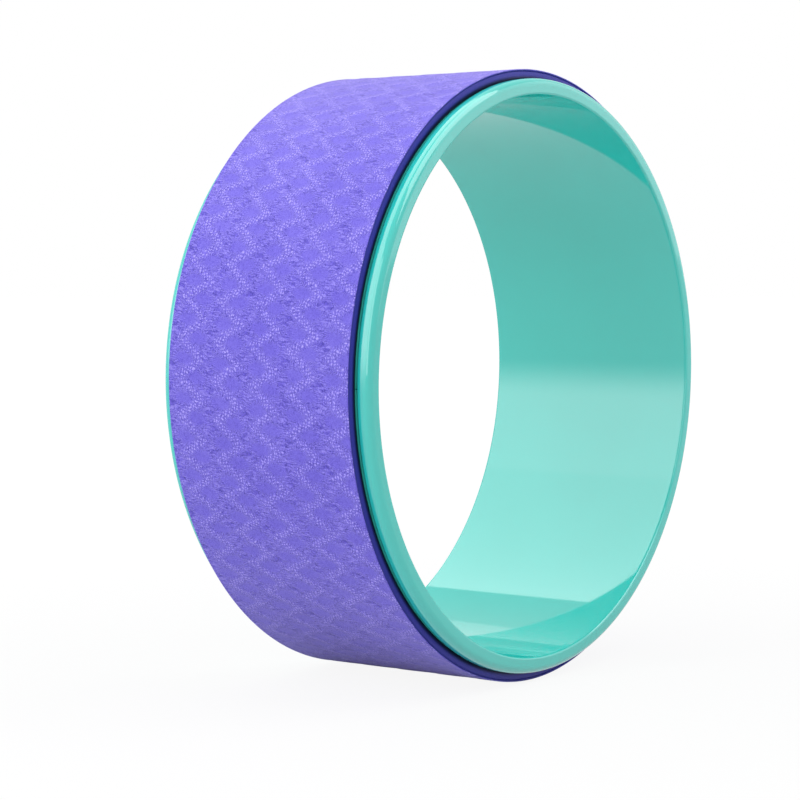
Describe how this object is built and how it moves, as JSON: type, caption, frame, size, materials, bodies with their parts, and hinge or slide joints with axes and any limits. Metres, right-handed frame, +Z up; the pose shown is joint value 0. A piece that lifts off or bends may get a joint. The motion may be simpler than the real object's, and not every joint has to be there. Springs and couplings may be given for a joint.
{
  "type": "yoga wheel",
  "caption": "Yoga wheel for back bends and stretching: a wide, open hoop of glossy plastic with rolled lips at both ends and a cushioned, embossed foam tread wrapped round it between them.",
  "frame": {"origin": "the wheel's centre, on its centre line midway between the two lips", "axes": "Y along the wheel's centre line with the front lip towards -Y; +Z up, the wheel standing on its tread; +X to the right seen from the front"},
  "size_m": [0.32, 0.13, 0.32],
  "materials": {
    "rim_plastic": "glossy moulded ABS, mint teal",
    "bed_plastic": "plain plastic strip",
    "film": "adhesive film",
    "foam_base": "closed-cell foam, dark indigo",
    "foam_top": "embossed closed-cell foam, purple"
  },
  "bodies": {
    "root": {"rim": "rim_plastic", "bed_band": "bed_plastic", "adhesive_film": "film", "tread_base": "foam_base", "tread_top": "foam_top"}
  },
  "joints": []
}
